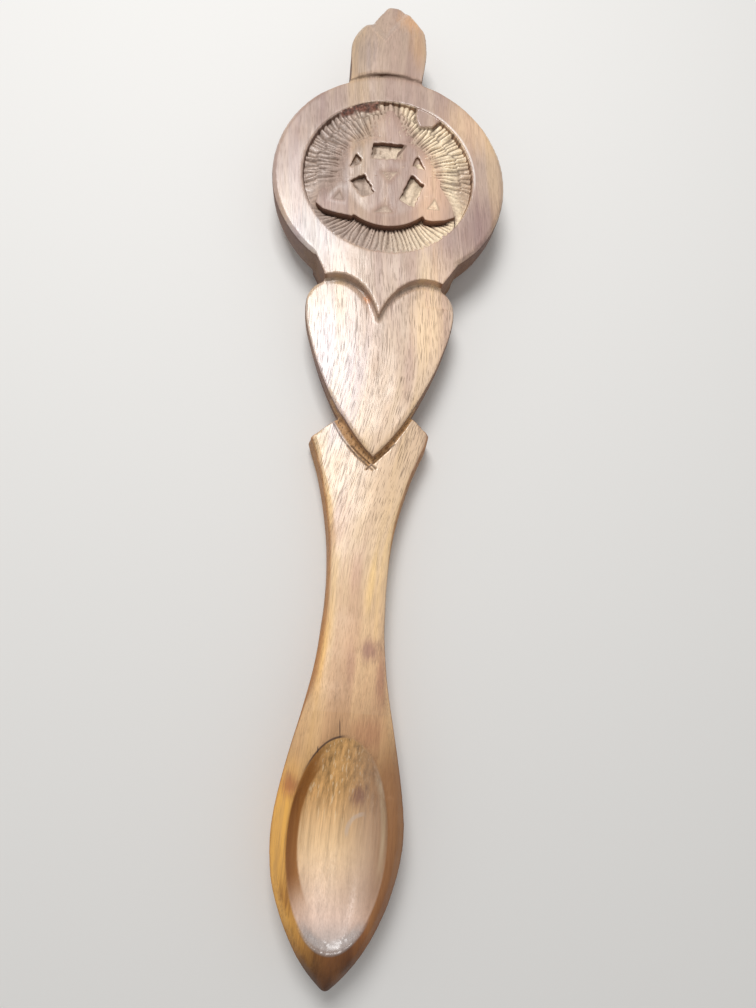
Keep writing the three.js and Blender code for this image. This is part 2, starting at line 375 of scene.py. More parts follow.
def addPrism(bm, outline, low, high, flare=1):
    # an upright block on the medallion, with heights in metres
    corners = [bm.verts.new((x * mm, y * mm + headY, low)) for x, y in outline]
    base = bm.faces.new(corners)
    grown = bmesh.ops.extrude_face_region(bm, geom=[base])
    top = [v for v in grown["geom"] if isinstance(v, bmesh.types.BMVert)]
    middle = sum((v.co for v in top), Vector()) / len(top)
    bmesh.ops.translate(bm, verts=top, vec=(0, 0, high - low))
    bmesh.ops.scale(bm, verts=top, vec=(flare, flare, 1), space=Matrix.Translation(-middle))
    bmesh.ops.recalc_face_normals(bm, faces=bm.faces)


def addDisc(bm, place, radius, depth, segments):
    bmesh.ops.create_cone(bm, cap_ends=True, segments=segments, radius1=radius, radius2=radius,
                          depth=depth, matrix=Matrix.Translation(place))


def buildKnotPlate(bm):
    x, y, radius = knotSpec["ring"]
    low, high = knotLow.z - knotSpec["sink"] * mm, knotHigh.z
    place = (x * mm, y * mm + headY, (low + high) / 2)
    addDisc(bm, place, radius * mm, high - low, knotSpec["segments"])
    for lobe in knotSpec["lobes"]:
        addPrism(bm, lobe, low, high)


def makeKnot():
    knot = makeSolid("carvedKnot", buildKnotPlate)
    remesh(knot, knotSpec["voxel"])
    for outline, depth in knotSpec["openings"]:
        low, high = knotHigh.z - depth * mm, knotHigh.z + knotSpec["clear"] * mm
        tool = makeSolid("opening", lambda bm: addPrism(bm, outline, low, high, knotSpec["flare"]))
        cutAway(knot, tool)
    remesh(knot, knotSpec["voxel"])
    sand(knot.data, knotSpec["sanding"])
    points = readPoints(knot.data)
    u, v = onDisc(points)
    top = ease(knotZ - 0.7, knotZ - 0.2, points[:, 2])
    drop = 0.02 * ripple(u * 0.4, v * 0.2, 21) + 0.01 * ripple(u * 1.6, v * 0.7, 22)
    for outline, depth, _, _ in knotSpec["scoops"]:
        drop -= depth * ease(0.35, -0.5, outlineDistance(outline, u, v))
    # the two upper flanks run out into the gouge marks
    upper = ease(-4.5, -2.5, np.where(u > 0, v - 4, v))
    flank = upper * ease(-knotSpec["runOut"], 0.1, knotDistance(u, v))
    drop -= flank * (knotSpec["softEdge"] + knotSpec["fluted"] * (1 - np.clip(fluteRidges(u, v), 0, 1)))
    points[:, 2] += drop * top
    # the openings were cut with a coarse tool
    for outline, _ in knotSpec["openings"]:
        near = ease(0.8, 0.2, np.abs(outlineDistance(outline, u, v))) * knotSpec["jagged"]
        points[:, 0] += near * ripple(u * 1.9, v * 1.9, 23)
        points[:, 1] += near * ripple(u * 1.9, v * 1.9, 24)
    writePoints(knot.data, points)
    return knot


# The sunk ground around the knot, cut with a small gouge

groundSpec = {
    "radius": 13.8,
    "flutes": 104,
    "row": 11.6,  # two rows of marks meet here
    "sideRidge": 0.38,
    "bottomRidge": 0.5,
    "sideDepth": (0.42, 0.95),  # at the knot, at the border
    "bottomDepth": (1.7, 0.12),
    "floors": (0.45, 1.05),  # depth of the knot's openings, at their foot and at their top
    "worn": [((-10.5, -4.5), 3.2), ((12, -4), 3.6)],  # where the gouge marks fade: middle and reach
    "uncut": [(3.8, 14.2), (8, 11.6), (6.6, 10.2), (4.5, 9.85), (3.9, 11)],  # a corner left standing
    "uncutDrop": 0.17,
    "rimSanding": 3,
    "torn": [  # where the wall broke away
        (-8.8, 10.8), (-8.3, 10.4), (-6.4, 11.2), (-5.2, 11.5),
        (-3.8, 11.6), (-2.4, 12.5), (-2.4, 13.8), (-6, 12.9),
    ],
    "tornSlope": 0.55,
    "faceFrom": 6,  # what lies above this height belongs to the carved face
    "cutFrom": 5,  # the gouge reaches no lower,
    "cutBelow": 0.12,  # and ends this far below the border
    "rimFrom": 7.3,
    "rimHalf": 0.5,  # half the width that is sanded
}


def fluteRidges(u, v):
    # the gouge's marks all around: above 0.5 on a crest and 0 in a valley
    spec = groundSpec
    r, angle = np.hypot(u, v), np.arctan2(v, u)
    sway = 0.6 * ripple(angle * 6, r * 0.12, 1) + 0.35 * ripple(angle * 17, r * 0.35, 2)
    past = r - spec["row"] - 0.6 * ripple(angle * 9, r * 0, 7)
    inner = ease(0.3, -0.3, past) * ease(-8, -5, v)
    turns = angle / (2 * math.pi) * spec["flutes"] + sway + inner * 0.5
    cell = np.mod(np.floor(turns), spec["flutes"])
    across = 2 * (turns - np.floor(turns)) - 1
    lean = across + 0.7 * (dice(cell, 1, 3) - 0.5) * (1 - across ** 2)  # crests off the middle
    chip = ripple(cell * 3.7, r * 0.65 + dice(cell, 2, 3) * 9, 4)
    tall = 0.7 + 0.35 * dice(cell, 0, 3) + 0.5 * np.clip(chip * 2, -1, 1) * ease(-9, -5, v)
    ridge = np.clip(1 - np.abs(lean) ** 2, 0, 1) * np.clip(tall, 0.35, 1.5)
    return ridge * (1 - 2.4 * inner * (1 - inner))


def groundField(u, v):
    # height below the border, and how much of a point takes painted shade and dirt (valleys, the
    # openings' top edges and upper left corners, the foot of the standing corner), torn wall or gouged
    # surface
    spec = groundSpec
    r, ridge = np.hypot(u, v), fluteRidges(u, v)
    fade = np.ones(len(u))
    for (x, y), reach in spec["worn"]:
        fade *= 0.3 + 0.7 * ease(reach * 0.5, reach * 1.2, np.hypot(u - x, v - y))
    away = knotDistance(u, v)
    share = np.clip(away / np.maximum(away + spec["radius"] - r, 0.2), 0, 1)
    bottom = ease(-5.2, -7.2, v)
    sideDepth = blend(*spec["sideDepth"], share)
    lowDepth = blend(*spec["bottomDepth"], share ** 0.8)
    depth = blend(sideDepth, lowDepth, bottom)
    size = blend(spec["sideRidge"], spec["bottomRidge"], bottom) * fade
    height = -depth + size * (ridge - 0.6) + 0.05 * ripple(u * 2.3, v * 2.3, 5)
    valleyShadeAndDirt = ease(0.6, 0.1, ridge) * fade * (1 - 0.8 * bottom * share ** 2)
    gouged = 0.3 + 0.7 * ease(-0.2, 1.1, away)
    marks = ripple(u * 2.6, v * 0.9, 6)
    for outline, _ in knotSpec["openings"]:
        low, high = min(y for _, y in outline), max(y for _, y in outline)
        fall = np.clip((v - low) / (high - low), 0, 1)
        floor = 0.15 * marks - blend(*spec["floors"], fall)
        rim = outlineDistance(outline, u, v)
        near = ease(0.7, 0.4, rim) * (away < 0)
        # painted shadow in its upper left corner
        middle = sum(x for x, _ in outline) / len(outline)
        cornerShadow = ease(-0.6, -0.15, rim) * ease(0.3, -0.4, u - middle)
        cornerShadow *= ease(0.1, 0.4, fall)
        height = height * (1 - near) + floor * near
        shade = ease(0.1, -0.6, marks) * 0.6 + ease(0.7, 1, fall) + cornerShadow
        valleyShadeAndDirt = valleyShadeAndDirt * (1 - near) + near * np.clip(shade, 0, 1)
        gouged = np.maximum(gouged, near * 0.9)
    rim = outlineDistance(spec["uncut"], u, v) + 0.12 * ripple(u * 1.5, v * 1.5, 8)
    uncut = ease(0.2, -0.1, rim)
    height = height * (1 - uncut) - spec["uncutDrop"] * uncut
    valleyShadeAndDirt = np.maximum(valleyShadeAndDirt, ease(0.5, 0.15, rim)) * (1 - uncut)
    rim = outlineDistance(spec["torn"], u, v) + 0.35 * ripple(u * 1.3, v * 1.3, 9)
    torn = ease(0.3, -0.3, rim)
    rough = 0.2 * ripple(u * 1.9, v * 1.9, 10) + 0.14 * ripple(u * 4.3, v * 4.3, 11)
    height = height * (1 - torn) + (rough - 0.1 - spec["tornSlope"] * (spec["radius"] - r)) * torn
    return height, valleyShadeAndDirt * (1 - torn), torn, gouged * (1 - uncut)


def onGround(points):
    spec, z = groundSpec, points[:, 2]
    within = np.hypot(*onDisc(points)) < spec["radius"] + 0.1
    return within & (z > spec["cutFrom"]) & (z < discZ - spec["cutBelow"])


def onRecessRim(co):
    away = math.hypot(co.x, co.y - headY) / mm - groundSpec["radius"]
    return abs(away) < groundSpec["rimHalf"] and co.z / mm > groundSpec["rimFrom"]


def carvedFinely(points):
    # the open ground, the floors of the knot's openings, and the tip of the heart
    x, y, z = points.T
    v = y - discY
    ground = (np.hypot(x, v) < groundSpec["radius"] + 0.4) & (z > groundSpec["faceFrom"])
    seen = knotDistance(x, v) > -0.4
    for outline, _ in knotSpec["openings"]:
        seen |= outlineDistance(outline, x, v) < 0.6
    tip = (np.abs(x - heartMid) < 7) & (np.abs(y - heartTip - 3) < 6) & (z > 4)
    end = (np.abs(hollowShare(x, y) - 0.95) < 0.15) & (y < -64) & (z > 3)
    return (ground & seen) | tip | end


def carveGround(points):
    chosen = onGround(points)
    cut = points[chosen]
    height = groundField(*onDisc(cut))[0]
    flat = cut[:, 2] < knotLow.z / mm + 0.3
    cut[:, 2] = np.where(flat, discZ + height, np.maximum(cut[:, 2], discZ + height))
    cut[:, 2] = np.minimum(cut[:, 2], discZ - 0.02)
    points[chosen] = cut


# Handle, heart, bowl and finial

def carveWaves(points, normals):
    # low unevenness of a surface that was shaped and sanded by hand
    x, y, z = points.T
    wave = ripple(x * 0.17 + z * 0.3, y * 0.11, 12) + 0.5 * ripple(x * 0.45 - z * 0.4, y * 0.3, 13)
    upper = ease(0.3, 1.2, z)  # the flat back stays flat
    points += normals * (wave * upper * blankSpec["waviness"])[:, None]


hollowSpec = {
    "middle": (0.3, -57.7),
    "half": (6.75, 13.45),
    "depth": 3.9,
    "ramp": 0.29,  # slope of the lower floor
    "end": 0.6,  # and of its end below the lip
    "endAt": 0.91,
    "streaks": 0.06,
    "lipSanding": 24,
    "chatter": 0.05,  # small tool marks at the lower end
}


def onUpperLip(co):
    out = hollowShare(co.x / mm, co.y / mm)
    return 0.8 < out < 1.25 and co.y / mm > -52 and co.z / mm > 4


def hollowShare(x, y):
    # 0 in the middle of the hollow and 1 on its lip
    return np.hypot((x - hollowSpec["middle"][0]) / hollowSpec["half"][0],
                    (y - hollowSpec["middle"][1]) / hollowSpec["half"][1])


def carveHollow(points, normals):
    # torn grain in the upper half of the bowl's hollow
    x, y, _ = points.T
    out = hollowShare(x, y)
    inside = (normals[:, 2] > 0.1) & (out < 1)
    amount = np.where(inside, ease(0.97, 0.85, out), 0) * ease(-65, -52, y)
    streak = ripple(x * 2.4, y * 0.15, 14) + 0.7 * ripple(x * 5.2, y * 0.3, 15)
    points += normals * (streak * amount * hollowSpec["streaks"])[:, None]
    # the lower floor climbs evenly and turns up at its end
    length = hollowSpec["half"][1]
    turn = 0.03 * np.log1p(np.exp((hollowSpec["endAt"] - out) / 0.03))
    wanted = length * (hollowSpec["end"] * (1 - out) - (hollowSpec["end"] - hollowSpec["ramp"]) * turn)
    lift = hollowSpec["depth"] * (1 - out ** 2) - wanted
    lift = 0.5 * (lift + np.sqrt(lift ** 2 + 0.02)) * ease(1, 0.95, out)
    below = np.clip((hollowSpec["middle"][1] - y) / length / np.maximum(out, 0.05), 0, 1)
    points[:, 2] += np.where(inside, lift * below ** 2, 0)
    end = ease(0.86, 0.94, out) * ease(1.05, 1, out) * ease(-65, -69, y)
    end *= normals[:, 2] > 0.1
    points[:, 2] += end * hollowSpec["chatter"] * ripple(x * 2.6, y * 2.6, 17)


heartSpec = {
    "crown": 0.25,
    "dip": 0.34,  # of the lobes towards the neck
    "dipWidth": 1.25,
    "dipRight": 0.6,  # share of it on the right
    "drafts": [  # leaning walls: side, from, to, fading lengths, shift at the back and at the face
        (1, -24, 2.4, 8, 1.2, 0.15, -0.15),
        (-1, -46, 2.6, 18, 5, 0.55, 0.1),
        (-1, -3, 24, 7, 9, -0.3, 0.25),
    ],
    "trench": (1.2, 0.6),  # width of the cut beside the heart, left and right of its tip
    "trenchDepth": 0.6,
    "cuts": [  # knife lines from point to point, the last one at the knot's right foot
        (-5.7, 1.6, -3.65, -1.5), (-3.65, -1.5, -1.3, -3.95), (-1.3, -3.95, 1.3, -5.95),
        (-2.2, -2.4, 1.75, -5.7), (4.4, -1.6, 2.9, -3.1), (2.9, -3.1, 0.35, -5.95),
        (11.25, 36.9, 11.3, 35.3),
    ],
    "cutWidth": 0.17,
    "cutDepth": 0.25,
    "yokeFrom": 3.5,  # what lies above this height belongs to the yoke's face
}


def carveHeart(points, normals):
    # a crisp outline, and a face that is slightly crowned
    x, y, z = points.T
    drop = heartZ - z
    shoulder = (drop > 0) & (drop < 0.8) & (y < heartEnd - 4)
    sharp = ease(0.3, 0.55, normals[:, 2]) * ease(heartTip + 7.6, heartTip + 11, y)
    points[:, 2] += np.where(shoulder, drop * sharp, 0)
    across = np.clip((x - heartMid) / ((heartHigh.x - heartLow.x) / 2 / mm), -1, 1)
    onFace = (np.abs(z - heartZ) < 0.4) & (y > heartTip) & (y < heartEnd - 0.4)
    points[:, 2] += np.where(onFace, heartSpec["crown"] * (0.45 - across ** 2), 0)


def blockDistance(name, points, chosen):
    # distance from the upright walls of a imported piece
    bm = bmesh.new()
    nodeCopies(name)(bm)
    bmesh.ops.scale(bm, verts=bm.verts, vec=(1, 1, 5))
    block = BVHTree.FromBMesh(bm)
    bm.free()
    away = np.full(len(points), 99.0)
    for i in np.flatnonzero(chosen):
        away[i] = block.find_nearest(toVector(points[i]))[3] / mm
    return away


def carveLobes(points):
    # the lobes fall towards the neck's wall, most beside the notch
    x, y, z = points.T
    face = (np.abs(z - heartZ) < 0.8) & (np.abs(y - heartEnd + 4) < 5)
    away = blockDistance("medallion", points, face)
    side = np.abs(x - heartMid)
    share = ease(1.2, 3, side) * ease(8.5, 4, side)
    share *= np.where(x > heartMid, heartSpec["dipRight"], 1)
    points[:, 2] -= heartSpec["dip"] * share * ease(heartSpec["dipWidth"], 0.2, away)


def sideEdge(points, side, rows, low):
    # how far the spoon reaches to one side above a height, row by row
    x, y, z = points.T
    return [(side * x)[(np.abs(y - row) < 0.4) & (z > low)].max() for row in rows]


def carveDrafts(points):
    # the walls of the handle and of the heart's left side are not quite upright
    for side, low, high, rise, fall, back, face in heartSpec["drafts"]:
        x, y, z = points.T
        rows = np.arange(low - 1, high + 1, 0.5)
        near = ease(1.6, 0, np.interp(y, rows, sideEdge(points, side, rows, 1)) - side * x)
        near *= ease(low, low + rise, y) * ease(high, high - fall, y)
        points[:, 0] += side * near * blend(back, face, ease(0.8, 4.6, z))


def trenchField(points, stretch=1):
    # how far a point lies down the cut that frees the heart's lower edges from the yoke
    x, y, z = points.T
    yoke = (y > heartTip - 2) & (y < heartTip + 9) & (z > heartSpec["yokeFrom"]) & (z < heartZ - 0.45)
    left, right = heartSpec["trench"]
    width = np.where(x < heartMid + 0.3, left, right) * stretch
    return np.clip(1 - blockDistance("heart", points, yoke) / width, 0, 1)


def stopCuts(x, y):
    # how deep a point lies in a knife line
    deep = np.zeros(len(x))
    for x0, y0, x1, y1 in heartSpec["cuts"]:
        deep = np.maximum(deep, ease(heartSpec["cutWidth"], 0, lineDistance(x, y, x0, y0, x1, y1)))
    return deep


def carveTrench(points):
    x, y, z = points.T
    deep = trenchField(points)
    rough = 1 + 0.35 * ripple(x * 2.2, y * 2.2, 16)
    cuttable = (z > heartSpec["yokeFrom"]) & (y < heartTip + 2) | (z > groundSpec["faceFrom"])
    points[:, 2] -= heartSpec["trenchDepth"] * deep ** 0.8 * rough
    points[:, 2] -= np.where(cuttable, heartSpec["cutDepth"] * stopCuts(x, y), 0)


rimSpec = {
    "swell": 0.5,  # the disc is cut a little fuller at its lower right
    "towards": -0.25,
    "reach": 1.2,
}


def carveRim(points):
    u, v = onDisc(points)
    r, angle = np.hypot(u, v), np.arctan2(v, u)
    swell = ease(rimSpec["reach"], 0, np.abs(angle - rimSpec["towards"])) * ease(14.5, 18, r)
    swell *= ease(discRadius + 3, discRadius + 1, r)
    points[:, 0] += np.cos(angle) * swell * rimSpec["swell"]
    points[:, 1] += np.sin(angle) * swell * rimSpec["swell"]


finialSpec = {
    "from": 10,  # where it may begin, from the medallion's middle
    "facetTip": (-2.3, 67.3),
    "facetLean": (0.9, 0.55),  # how far the two ridges lean, left and right
    "facetSlope": 0.26,
    "chamfer": (1.1, 0.5),  # width and slope along its left side
    "foot": 0.2,  # width of the line of painted shade at its foot
    "footRise": 0.4,
}


def footLine(points, width):
    # the step from the bud down to the medallion's face
    x, y, z = points.T
    away = np.abs(np.hypot(x, y - discY) - discRadius)
    foot = (z > discZ - 0.35) & (y > discY + finialSpec["from"])
    return np.where(foot, ease(width, width * 0.5, away), 0)


def facetField(x, y):
    # above zero on the facet and zero on its two ridges
    tipX, tipY = finialSpec["facetTip"]
    left, right = finialSpec["facetLean"]
    return np.minimum((y - tipY) + (x - tipX) / left, (y - tipY) - (x - tipX) / right)


def carveFinial(points, normals):
    # the foot stands above the medallion's face over its whole width
    x, y, z = points.T
    away = np.hypot(x, y - discY) - discRadius
    foot = (y > discY + finialSpec["from"]) & (away > 0.1)
    rows = np.arange(finialLow.x / mm, finialHigh.x / mm, 0.5)
    top = foot & (away < 1.5) & (normals[:, 2] > 0.6)
    height = np.interp(x, rows, [z[top & (np.abs(x - row) < 0.6)].max() for row in rows])
    lift = np.clip(discZ + finialSpec["footRise"] - height, 0, 2) * ease(6, 0.6, away)
    points[:, 2] += np.where(foot, lift * ease(2, 6, z), 0)
    # a facet between two ridges falls to the tip
    points[:, 2] -= ease(5.5, 7, z) * finialSpec["facetSlope"] * np.clip(facetField(x, y), 0, 2.5)
    # and the left side is chamfered
    width, slope = finialSpec["chamfer"]
    rows = np.arange(discY + finialSpec["from"], finialHigh.y / mm - 3, 0.5)
    edge = sideEdge(points, -1, rows, 4)
    inward = np.clip(width - x - np.interp(y, rows, edge), 0, width)
    cut = slope * inward * ease(rows[-1], rows[-1] - 3, y)
    points[:, 2] -= np.where(foot, cut * ease(5, 7, z), 0)


def makeBlank():
    blank = makeSolid("blank", nodeCopies("bowl", "handle", "heart", "medallion", "finial"))
    model = BVHTree.FromObject(blank, bpy.context.evaluated_depsgraph_get())
    remesh(blank, blankSpec["voxel"])
    mesh = blank.data
    sand(mesh, blankSpec["sanding"])
    sand(mesh, blankSpec["handleSanding"], lambda co: co.y < heartLow.y - 6 * mm)
    sand(mesh, hollowSpec["lipSanding"], onUpperLip)
    crispEdges(mesh, model)
    refine(mesh, carvedFinely(readPoints(mesh)))
    points, normals = readPoints(mesh), readNormals(mesh)
    carveWaves(points, normals)
    carveHollow(points, normals)
    carveHeart(points, normals)
    carveLobes(points)
    carveTrench(points)
    carveDrafts(points)
    carveFinial(points, normals)
    carveGround(points)
    carveRim(points)
    writePoints(mesh, points)
    sand(mesh, groundSpec["rimSanding"], onRecessRim)
    print("blank carved:", len(mesh.vertices), "points")
    return blank


# Sawing the blank into its named regions

sawSpec = {
    "heartGrow": 1.05,
    "heartShrink": 0.94,
    "heartTall": 4,  # times its height
    "neckHalf": 9.2,
    "neckSpan": (-12, 5),  # from the upper end of the lobes
    "neckHeights": (-20, 40),
    "finialLap": 0.3,
    "budMargin": 2,
    "budFrom": 0.8,  # share of the medallion's radius
    "far": 100,  # well past the spoon on any side
    "segments": 180,
}
sawFar = sawSpec["far"] * mm


def boxCutter(name, low, high):
    low, high = Vector(low), Vector(high)
    shape = Matrix.Translation((low + high) / 2) @ Matrix.Diagonal((*(high - low), 1))
    return makeSolid(name, lambda bm: bmesh.ops.create_cube(bm, size=1, matrix=shape))


def lowerCutter(name, y):
    # all that lies on the bowl's side of y
    return boxCutter(name, (-sawFar, -sawFar, -sawFar), (sawFar, y, sawFar))


def heartCutter(name, scale):
    def build(bm):
        nodeCopies("heart")(bm)
        resize = Matrix.Diagonal((scale, scale, sawSpec["heartTall"], 1))
        place = Matrix.Translation((heartX, heartY, heartHigh.z / 2))
        bmesh.ops.transform(bm, matrix=place @ resize @ place.inverted(), verts=bm.verts)
    return makeSolid(name, build)


def splitBy(piece, tool, name):
    # what lies inside the tool becomes a new piece, and the rest stays
    inside = makeObject(name, piece.data.copy())
    boolean(inside, tool, "INTERSECT")
    cutAway(piece, tool)
    return inside


def sawBlank(blank):
    own = blank.data.attributes.new("ownSurface", "BOOLEAN", "FACE")
    own.data.foreach_set("value", np.ones(len(own.data), bool))
    grown = heartCutter("heartGrown", sawSpec["heartGrow"])
    half = sawSpec["neckHalf"] * mm
    low, high = (heartHigh.y + end * mm for end in sawSpec["neckSpan"])
    foot, top = (height * mm for height in sawSpec["neckHeights"])
    neck = boxCutter("neck", (heartX - half, low, foot), (heartX + half, high, top))
    cutAway(neck, heartCutter("heartShrunk", sawSpec["heartShrink"]))
    cutAway(grown, neck)
    heart = splitBy(blank, grown, "carvedHeart")
    handle = splitBy(blank, lowerCutter("lower", heartY), "carvedHandle")
    bowl = splitBy(handle, lowerCutter("bowlEnd", bowlHigh.y), "carvedBowl")
    margin = sawSpec["budMargin"] * mm
    low = headY + headRadius * sawSpec["budFrom"]
    left, right = finialLow.x - margin, finialHigh.x + margin
    upper = boxCutter("bud", (left, low, -sawFar), (right, sawFar, sawFar))
    rim = headRadius - sawSpec["finialLap"] * mm
    place, tall, segments = (0, headY, 0), 3 * sawFar, sawSpec["segments"]
    cutAway(upper, makeSolid("rim", lambda bm: addDisc(bm, place, rim, tall, segments)))
    finial = splitBy(blank, upper, "carvedFinial")
    blank.name = "carvedMedallion"
    return {"bowl": bowl, "handle": handle, "heart": heart, "medallion": blank, "finial": finial}


# Marks on the surface, kept as attributes that the finishes read

def writeMark(mesh, name, values):
    mark = mesh.attributes.new(name, "FLOAT", "POINT")
    mark.data.foreach_set("value", np.clip(values, 0, 1).astype(np.float32))


def sawnPoints(mesh):
    # points on the hidden faces that the saw left between two pieces
    hidden = np.zeros(len(mesh.vertices), bool)
    if "ownSurface" in mesh.attributes:
        own = mesh.attributes["ownSurface"].data
        for face in mesh.polygons:
            if not own[face.index].value:
                hidden[list(face.vertices)] = True
    return hidden


def sharpenSaw(mesh):
    # the sawn faces stay flat, so that the surface passes from piece to piece without a line
    if "ownSurface" not in mesh.attributes:
        return

    def edit(bm):
        own = bm.faces.layers.bool["ownSurface"]
        for edge in bm.edges:
            edge.smooth = len({face[own] for face in edge.link_faces}) == 1

    editMesh(mesh, edit)


def bends(mesh):
    # above zero in creases and below zero on edges
    ends = np.empty(len(mesh.edges) * 2, np.int32)
    mesh.edges.foreach_get("vertices", ends)
    a, b = ends.reshape(-1, 2).T
    points, normals = readPoints(mesh), readNormals(mesh)
    span = points[b] - points[a]
    span /= np.maximum(np.linalg.norm(span, axis=1), 1e-6)[:, None]
    count = len(points)
    degree = np.maximum(np.bincount(a, minlength=count) + np.bincount(b, minlength=count), 1)

    def gather(fromB, fromA):
        return (np.bincount(a, fromB, count) + np.bincount(b, fromA, count)) / degree

    bend = gather((span * normals[a]).sum(1), -(span * normals[b]).sum(1))
    bend[sawnPoints(mesh)] = 0
    for _ in range(2):
        bend = 0.5 * bend + 0.5 * gather(bend[b], bend[a])
    return bend


def markPiece(node, mesh):
    points, bend = readPoints(mesh), bends(mesh)
    marks = {"crease": ease(0.05, 0.3, bend), "worn": ease(0.06, 0.25, -bend)}
    for name in ("groove", "fresh", "ground", "dull"):
        marks[name] = np.zeros(len(points))

    def add(name, values):
        marks[name] = np.maximum(marks[name], values)

    (x, y, z), (u, v) = points.T, onDisc(points)
    if node == "medallion":
        chosen = onGround(points)
        fields = groundField(u[chosen], v[chosen])
        for name, values in zip(("groove", "fresh", "ground"), fields[1:]):
            marks[name][chosen] = values
        marks["dull"][chosen] = ease(1.4, 0.4, knotDistance(u[chosen], v[chosen]))
        # painted shade and dirt in the knife lines
        add("groove", np.where(z > groundSpec["faceFrom"], stopCuts(x, y), 0))
    if node in ("medallion", "finial"):
        # a line of painted shade at the bud's foot
        add("groove", 0.8 * footLine(points, finialSpec["foot"]))
        add("dull", footLine(points, finialSpec["foot"] * 4))
    if node == "finial":
        # a painted highlight along the facet's two ridges
        add("worn", ease(0.4, 0.1, np.abs(facetField(x, y))) * ease(71.5, 69.5, y))
    if node == "knot":
        # painted shade on the knot's walls
        add("groove", 0.8 * ease(knotZ - 0.3, knotZ - 0.8, z))
        for outline, _, dark, pale in knotSpec["scoops"]:
            nick = outlineDistance(outline, u, v)
            add("ground", pale * ease(0.2, -0.2, nick))
            # painted shade along the nick's edge
            add("groove", dark * ease(0.2, 0.05, np.abs(nick)))
            add("dull", 0.9 * ease(1.1, 0.1, nick))
        # a line of painted shade down the slit
        add("groove", ease(0.4, 0.15, lineDistance(u, v, *knotSpec["slit"])))
        add("dull", 0.85 * ease(-2.6, -1.2, knotDistance(u, v)))
    if node in ("handle", "heart"):
        add("fresh", ease(0.0, 0.25, trenchField(points, 1.1)))
        # painted shade and dirt in the knife lines
        add("groove", np.where(z > heartSpec["yokeFrom"], stopCuts(x, y), 0))
    for name, values in marks.items():
        writeMark(mesh, name, values)


blank = makeBlank()
pieces = sawBlank(blank)
pieces["knot"] = makeKnot()
for name, piece in pieces.items():
    markPiece(name, piece.data)
    print(name, len(piece.data.vertices), "points")


# Finishes

def operator(operation, swapped=False):
    def apply(value, other):
        pair = (other, value) if swapped else (value, other)
        return value.finish.add("Math", {"operation": operation}, dict(enumerate(pair)))
    return apply


class Value:
    # a node's output, so that shader maths reads as plain expressions
    def __init__(self, finish, socket):
        self.finish = finish
        self.socket = socket

    __add__ = __radd__ = operator("ADD")
    __sub__ = operator("SUBTRACT")
    __rsub__ = operator("SUBTRACT", swapped=True)
    __mul__ = __rmul__ = operator("MULTIPLY")
    __truediv__ = operator("DIVIDE")
    __pow__ = operator("POWER")

    def __abs__(self):
        return self.finish.add("Math", {"operation": "ABSOLUTE"}, {0: self})


class Finish:
    # one material and the ways to add nodes to it
    def __init__(self, name):
        self.material = bpy.data.materials.new(name)
        self.material.use_nodes = True
        self.tree = self.material.node_tree
        self.tree.nodes.clear()

    def add(self, kind, settings=None, sockets=None, output=0):
        node = self.tree.nodes.new("ShaderNode" + kind)
        for key, value in (settings or {}).items():
            if key == "stops":
                fillRamp(node.color_ramp, value)
            else:
                setattr(node, key, value)
        for key, value in (sockets or {}).items():
            if isinstance(value, Value):
                self.tree.links.new(value.socket, node.inputs[key])
            else:
                node.inputs[key].default_value = value
        return Value(self, node.outputs[output]) if node.outputs else None

    def mix(self, factor, first, second, blend="MIX"):
        settings = {"data_type": "RGBA", "blend_type": blend, "clamp_factor": True}
        return self.add("Mix", settings, {0: factor, 6: rgba(first), 7: rgba(second)}, 2)

    def scale(self, color, amount):
        return self.add("VectorMath", {"operation": "SCALE"}, {0: color, "Scale": amount})

    def step(self, value, low, high, first=0, last=1):
        # a soft step from first to last
        settings = {"interpolation_type": "SMOOTHSTEP"}
        return self.add("MapRange", settings, {0: value, 1: low, 2: high, 3: first, 4: last})

    def noise(self, place, scale, detail=2, rough=0.5, shift=0):
        sockets = {"Vector": place, "Location": (shift, shift, shift), "Scale": scale}
        moved = self.add("Mapping", {}, sockets)
        sockets = {"Vector": moved, "Scale": 1, "Detail": detail, "Roughness": rough}
        return self.add("TexNoise", {}, sockets)

    def mark(self, name):
        return self.add("Attribute", {"attribute_name": name}, {}, "Fac")


def rgba(color):
    return color if isinstance(color, Value) else (*color, 1)


def fillRamp(ramp, stops):
    while len(ramp.elements) < len(stops):
        ramp.elements.new(0.5)
    for element, (place, color) in zip(ramp.elements, stops):
        element.position = place
        element.color = rgba(color)


